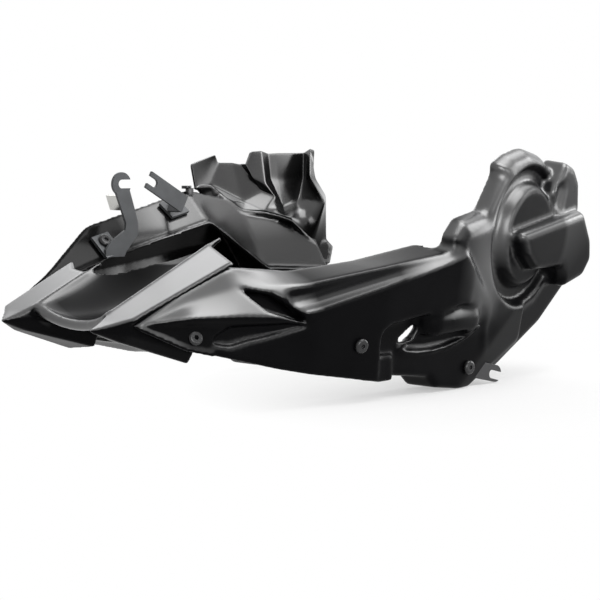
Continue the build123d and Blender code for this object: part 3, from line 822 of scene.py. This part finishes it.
class BELLY_PG_metalwork(bpy.types.PropertyGroup):
    """Sizes and colours of the brackets and fasteners"""

    bracket_edge: bpy.props.FloatProperty(
        name="Bracket edge", description="Width of the brackets' broken edges", default=0.0006, min=0.0001,
        unit="LENGTH",
    )
    screw_edge: bpy.props.FloatProperty(
        name="Screw edge", description="Width of the fasteners' broken edges", default=0.0003, min=0.0001,
        unit="LENGTH",
    )
    steel: bpy.props.FloatVectorProperty(
        name="Grey steel", description="Colour of the front brackets", subtype="COLOR",
        default=(0.075, 0.078, 0.082), min=0.0, max=1.0,
    )
    # Near-black copy of the grey steel for the rear brackets: painted shade.
    dark: bpy.props.FloatVectorProperty(
        name="Steel in painted shade", description="Colour of the rear brackets", subtype="COLOR",
        default=(0.006, 0.006, 0.007), min=0.0, max=1.0,
    )
    oxide: bpy.props.FloatVectorProperty(
        name="Black oxide", description="Colour of the screws", subtype="COLOR",
        default=(0.03, 0.03, 0.031), min=0.0, max=1.0,
    )
    zinc: bpy.props.FloatVectorProperty(
        name="Plated zinc", description="Colour of the nuts and the bent tab", subtype="COLOR",
        default=(0.5, 0.5, 0.48), min=0.0, max=1.0,
    )


class BELLY_PG_stage(bpy.types.PropertyGroup):
    """Floor, light and lens"""

    floor: bpy.props.FloatProperty(
        name="Floor", description="Side of the floor", default=40.0, min=5.0, unit="LENGTH"
    )
    level: bpy.props.FloatProperty(
        name="Light level", description="Share of each lamp's power", default=1.0, min=0.0,
        subtype="FACTOR",
    )
    lens: bpy.props.FloatProperty(
        name="Lens", description="Focal length of the camera", default=108.0, min=20.0, unit="CAMERA"
    )


class BELLY_OT_left_panel(bpy.types.Operator):
    """Moulded left side panel"""

    bl_idname = "belly.left_panel"
    bl_label = "Left panel"

    def execute(self, context):
        size = context.scene.belly_panels
        low, high = (-285, 70, -8), (315, 190, 242)
        piece = panel_piece("left_panel", left_field, low, high, size.side_step, -1, 5, size.wall)
        finish = plastic("satin_black", size.satin, 0.3, satin_painted_light, 0.025)
        finish_piece(piece, "left_side_panel", finish)
        return {"FINISHED"}


class BELLY_OT_right_panel(bpy.types.Operator):
    """Moulded right side panel"""

    bl_idname = "belly.right_panel"
    bl_label = "Right panel"

    def execute(self, context):
        size = context.scene.belly_panels
        low, high = (-285, 70, -8), (225, 192, 242)
        piece = panel_piece("right_panel", right_field, low, high, size.side_step, 1, 9, size.wall)
        finish = plastic("gloss_black", size.gloss, 0.2, gloss_painted_light, 0.008)
        finish_piece(piece, "right_side_panel", finish)
        return {"FINISHED"}


def face_outward():
    """Turns the faces of the active piece outward."""
    bpy.ops.object.mode_set(mode="EDIT")
    bpy.ops.mesh.select_all(action="SELECT")
    bpy.ops.mesh.normals_make_consistent(inside=False)
    bpy.ops.object.mode_set(mode="OBJECT")


class BELLY_OT_right_tail(bpy.types.Operator):
    """Folded inner face of the right tail"""

    bl_idname = "belly.right_tail"
    bl_label = "Right tail"

    def execute(self, context):
        size = context.scene.belly_panels
        names = list(FAR_POINTS)
        points = np.array([tail_point(*FAR_POINTS[name]) for name in names])
        faces = [[names.index(name) for name in row.split()] for row in FAR_FACES]
        piece = mesh_object("right_tail", points * MM, faces)
        face_outward()
        solid = piece.modifiers.new("Solidify", "SOLIDIFY")
        solid.thickness, solid.offset, solid.use_even_offset = size.wall, 0.0, True
        finer = piece.modifiers.new("Split", "SUBSURF")
        finer.subdivision_type, finer.levels, finer.render_levels = "SIMPLE", 4, 4
        add_smooth(piece, 12)
        apply_all(piece)
        face_outward()
        bpy.ops.object.shade_smooth()
        finish_piece(piece, "right_side_panel", bpy.data.materials["gloss_black"])
        return {"FINISHED"}


class BELLY_OT_nose(bpy.types.Operator):
    """Moulded nose"""

    bl_idname = "belly.nose"
    bl_label = "Nose"

    def execute(self, context):
        size = context.scene.belly_panels
        low, high = (-312, -122, 30), (-132, 122, 166)
        piece = panel_piece("nose", nose_field, low, high, size.nose_step, 1, 5, size.wall)
        finish_piece(piece, "nose_panel", bpy.data.materials["satin_black"])
        return {"FINISHED"}


WELD = 0.00001
FLAT_ANGLE, SHARP_ANGLE = math.radians(1), math.radians(35)
SMALL_BEVEL_ANGLE, SMALL_SHADE_ANGLE = math.radians(30), math.radians(40)


def metal(name, colour, roughness, metallic):
    """Painted or plated metal with a cloudy tone and a fine grain."""
    material, tree, shader = new_finish(name)
    shader.inputs["Metallic"].default_value = metallic
    place = Node.add(tree, "ShaderNodeTexCoord", output=OBJECT_PLACE)
    cloud = Node.add(tree, "ShaderNodeTexNoise", Vector=place, Scale=90.0, Detail=5.0)
    two_tone(cloud, colour, 0.75, 1.25).feed(shader, "Base Color")
    (roughness + (cloud - 0.5) * 0.2).feed(shader, "Roughness")
    add_grain(shader, place, 2200.0, 0.1, 0.0001)
    return material


def break_edges(piece, width, angle):
    """Bevel on the edges that turn by more than an angle."""
    bevel = piece.modifiers.new("Bevel", "BEVEL")
    bevel.width, bevel.segments = width, 2
    bevel.limit_method, bevel.angle_limit = "ANGLE", angle


def edged_copy(name, node, width, material):
    """Copy of a solid with its edges broken."""
    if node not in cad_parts:
        raise RuntimeError("no solid is named " + node)
    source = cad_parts[node]
    piece = source.copy()
    piece.data = source.data.copy()
    piece.name = name
    bpy.context.scene.collection.objects.link(piece)
    piece.hide_set(False)
    piece.parent = None
    pick(piece)
    bpy.ops.object.mode_set(mode="EDIT")
    bpy.ops.mesh.select_all(action="SELECT")
    bpy.ops.mesh.remove_doubles(threshold=WELD)
    bpy.ops.mesh.dissolve_limited(angle_limit=FLAT_ANGLE)
    bpy.ops.object.mode_set(mode="OBJECT")
    break_edges(piece, width, SHARP_ANGLE)
    bpy.ops.object.shade_smooth_by_angle(angle=SHARP_ANGLE)
    weights = piece.modifiers.new("Weights", "WEIGHTED_NORMAL")
    weights.keep_sharp = True
    apply_all(piece)
    finish_piece(piece, node, material)


def take_face(piece, direction):
    """Goes into edit mode with only the face that looks most in a direction selected."""
    pick(piece)
    bpy.ops.object.transform_apply(location=True, rotation=True, scale=True)
    bpy.ops.object.mode_set(mode="EDIT")
    bpy.ops.mesh.select_mode(type="FACE")
    bpy.ops.mesh.select_all(action="DESELECT")
    bpy.ops.object.mode_set(mode="OBJECT")
    best = max(piece.data.polygons, key=lambda face: face.normal.dot(Vector(direction)))
    best.select = True
    bpy.ops.object.mode_set(mode="EDIT")


def push(offset):
    """Extrudes the selected face."""
    bpy.ops.mesh.extrude_region_move(TRANSFORM_OT_translate={"value": offset})


def small_part(piece, name, width, material):
    """Finishes a shaped primitive: edges broken, tied to the frame."""
    bpy.ops.object.mode_set(mode="OBJECT")
    piece.name = name
    break_edges(piece, width, SMALL_BEVEL_ANGLE)
    apply_all(piece)
    bpy.ops.object.shade_smooth_by_angle(angle=SMALL_SHADE_ANGLE)
    piece.data.materials.append(material)
    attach(piece, "root")


class BELLY_OT_brackets(bpy.types.Operator):
    """Sheet steel brackets with broken edges"""

    bl_idname = "belly.brackets"
    bl_label = "Brackets"

    def execute(self, context):
        size = context.scene.belly_metalwork
        steel = metal("grey_steel", size.steel, 0.5, 0.35)
        # The near-black steel of the rear brackets is painted shade.
        dark = metal("steel_in_painted_shade", size.dark, 0.5, 0.0)
        for node in ("hook_bracket", "fork_bracket", "left_rear_bracket", "right_rear_bracket"):
            finish = dark if "rear" in node else steel
            edged_copy(node + "_sheet", node, size.bracket_edge, finish)
        return {"FINISHED"}


class BELLY_OT_fasteners(bpy.types.Operator):
    """Screws and nuts"""

    bl_idname = "belly.fasteners"
    bl_label = "Fasteners"

    def execute(self, context):
        size = context.scene.belly_metalwork
        black = metal("black_oxide", size.oxide, 0.26, 0.6)
        plated = metal("plated_zinc", size.zinc, 0.3, 1.0)
        for node in sorted(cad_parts):
            if node.endswith("_screw"):
                edged_copy(node + "_turned", node, size.screw_edge, black)
            elif node.endswith("_nut"):
                edged_copy(node + "_turned", node, size.screw_edge, plated)
        return {"FINISHED"}


TAB_PLACE, TAB_SIZE = (-0.1352, 0.1112, 0.181), (0.0025, 0.0205, 0.0155)
TAB_LEAN, TAB_EDGE = math.radians(-20), 0.0005
TAB_BENDS = [(0.0006, 0.0022, 0.0002), (0.0024, 0.0014, 0.0009)]
# Name, sides, radius, depth and place of each
EDGE_FASTENERS = [
    ("edge_screw", 32, 0.0052, 0.0032, (-0.0125, 0.146, 0.1935)),
    ("edge_nut", 6, 0.0044, 0.012, (-0.0105, 0.1435, 0.1865)),
]
SOCKET_WIDTH, SOCKET_DEPTH, FASTENER_EDGE = 0.45, 0.0014, 0.0004


class BELLY_OT_small_parts(bpy.types.Operator):
    """Bent tab of the hook bracket, and the screw and nut in the far edge"""

    bl_idname = "belly.small_parts"
    bl_label = "Small parts"

    def execute(self, context):
        deselect()
        bpy.ops.mesh.primitive_cube_add(size=1, location=TAB_PLACE, rotation=(0, TAB_LEAN, 0))
        tab = context.object
        tab.scale = TAB_SIZE
        take_face(tab, (0, 1, 0))
        for bend in TAB_BENDS:
            push(bend)
        small_part(tab, "hook_tab", TAB_EDGE, bpy.data.materials["plated_zinc"])
        for name, sides, radius, depth, place in EDGE_FASTENERS:
            deselect()
            bpy.ops.mesh.primitive_cylinder_add(vertices=sides, radius=radius, depth=depth, location=place)
            piece = context.object
            take_face(piece, (0, 0, 1))
            bpy.ops.mesh.inset(thickness=radius * SOCKET_WIDTH)
            push((0, 0, -SOCKET_DEPTH))
            small_part(piece, name, FASTENER_EDGE, bpy.data.materials["black_oxide"])
        return {"FINISHED"}


# Name, place, side and power of each lamp
LAMPS = [
    ("rear_right_light", (0.97, 1.49, 1.3), 1.15, 8),
    ("top_light", (0.5, -1.0, 1.75), 1.2, 24),
    ("front_left_light", (-0.62, -1.83, 0.5), 0.9, 16),
    ("rear_left_light", (1.9, -0.8, 0.6), 1.1, 20),
    ("rear_light", (1.4, -0.05, 1.5), 0.7, 4),
    ("left_light", (0.6, -2.2, 0.5), 0.7, 4),
    ("deck_light", (0.94, -0.31, 1.83), 0.9, 7),
]
LAMP_TARGET = (0, 0, 0.1)
CAMERA_PLACE, CAMERA_TARGET, SENSOR = (-1.2592, -1.2678, 0.2399), (0.009, 0.0, 0.083), 36
SHADOW_AT, SHADOW_SPREAD, SHADOW_WHITE = (0.13, -0.17, 0), (0.06, 0.32), 0.4
WORLD_LIGHT = 0.05


def seen_rays(tree):
    """1 for rays from the camera, from reflections and through clear things, else 0."""
    path = Node.add(tree, "ShaderNodeLightPath", output="Is Camera Ray")
    return (path + path.beside("Is Glossy Ray") + path.beside("Is Transmission Ray")).at_most(1.0)


def floor_white():
    """White floor that takes the object's shadow near its foot."""
    material = bpy.data.materials.new("floor_white")
    material.use_nodes = True
    tree = material.node_tree
    tree.nodes.clear()
    place = Node.add(tree, "ShaderNodeTexCoord", output="Object")
    kind = {"operation": "DISTANCE"}
    far = Node.add(tree, "ShaderNodeVectorMath", kind, output="Value", i0=place, i1=SHADOW_AT)
    white = seen_rays(tree) * (SHADOW_WHITE + ramp(far, *SHADOW_SPREAD) * (1 - SHADOW_WHITE))
    matt = Node.add(tree, "ShaderNodeBsdfDiffuse", Color=(0.9, 0.9, 0.9, 1))
    glow = Node.add(tree, "ShaderNodeEmission", Color=(1, 1, 1, 1), Strength=1.0)
    both = Node.add(tree, "ShaderNodeMixShader", i0=white, i1=matt, i2=glow)
    Node.add(tree, "ShaderNodeOutputMaterial", Surface=both)
    return material


def studio_world():
    """White background, which reflections meet too, over a weak light."""
    world = bpy.data.worlds.new("studio")
    world.use_nodes = True
    tree = world.node_tree
    tree.nodes.clear()
    strength = WORLD_LIGHT + seen_rays(tree) * (1 - WORLD_LIGHT)
    back = Node.add(tree, "ShaderNodeBackground", Color=(1, 1, 1, 1), Strength=strength)
    Node.add(tree, "ShaderNodeOutputWorld", Surface=back)
    return world


def aim(thing, target):
    """Turns a lamp or the camera towards a point."""
    line = Vector(target) - thing.location
    thing.rotation_mode = "QUATERNION"
    thing.rotation_quaternion = line.to_track_quat("-Z", "Y")


class BELLY_OT_stage(bpy.types.Operator):
    """Floor, light and camera"""

    bl_idname = "belly.stage"
    bl_label = "Stage"

    def execute(self, context):
        scene = context.scene
        size = scene.belly_stage
        scene.view_settings.view_transform = "Standard"
        deselect()
        bpy.ops.mesh.primitive_plane_add(size=size.floor, location=(0, 0, 0))
        floor = context.object
        floor.name = "floor"
        floor.data.materials.append(floor_white())
        scene.world = studio_world()
        for name, place, side, power in LAMPS:
            bpy.ops.object.light_add(type="AREA", location=place)
            lamp = context.object
            lamp.name = name
            lamp.data.shape = "SQUARE"
            lamp.data.size = side
            lamp.data.energy = power * size.level
            aim(lamp, LAMP_TARGET)
        bpy.ops.object.camera_add(location=CAMERA_PLACE)
        camera = context.object
        camera.data.lens = size.lens
        camera.data.sensor_width = SENSOR
        aim(camera, CAMERA_TARGET)
        scene.camera = camera
        return {"FINISHED"}


class BELLY_PT_sidebar(bpy.types.Panel):
    """Steps of the belly pan, in order"""

    bl_idname = "BELLY_PT_sidebar"
    bl_label = "Belly Pan"
    bl_space_type = "VIEW_3D"
    bl_region_type = "UI"
    bl_category = "Belly Pan"

    def draw(self, context):
        scene = context.scene
        for group in (scene.belly_panels, scene.belly_metalwork, scene.belly_stage):
            box = self.layout.box()
            for name in group.__annotations__:
                box.prop(group, name)
        for step in STEPS:
            self.layout.operator("belly." + step)


STEPS = (
    "left_panel", "right_panel", "right_tail", "nose", "brackets", "fasteners", "small_parts", "stage",
)
CLASSES = (
    BELLY_PG_panels,
    BELLY_PG_metalwork,
    BELLY_PG_stage,
    BELLY_OT_left_panel,
    BELLY_OT_right_panel,
    BELLY_OT_right_tail,
    BELLY_OT_nose,
    BELLY_OT_brackets,
    BELLY_OT_fasteners,
    BELLY_OT_small_parts,
    BELLY_OT_stage,
    BELLY_PT_sidebar,
)


def register():
    for item in CLASSES:
        bpy.utils.register_class(item)
    bpy.types.Scene.belly_panels = bpy.props.PointerProperty(type=BELLY_PG_panels)
    bpy.types.Scene.belly_metalwork = bpy.props.PointerProperty(type=BELLY_PG_metalwork)
    bpy.types.Scene.belly_stage = bpy.props.PointerProperty(type=BELLY_PG_stage)


def unregister():
    del bpy.types.Scene.belly_stage
    del bpy.types.Scene.belly_metalwork
    del bpy.types.Scene.belly_panels
    for item in reversed(CLASSES):
        bpy.utils.unregister_class(item)


def main():
    register()
    for step in STEPS:
        getattr(bpy.ops.belly, step)()


if __name__ == "__main__":
    main()
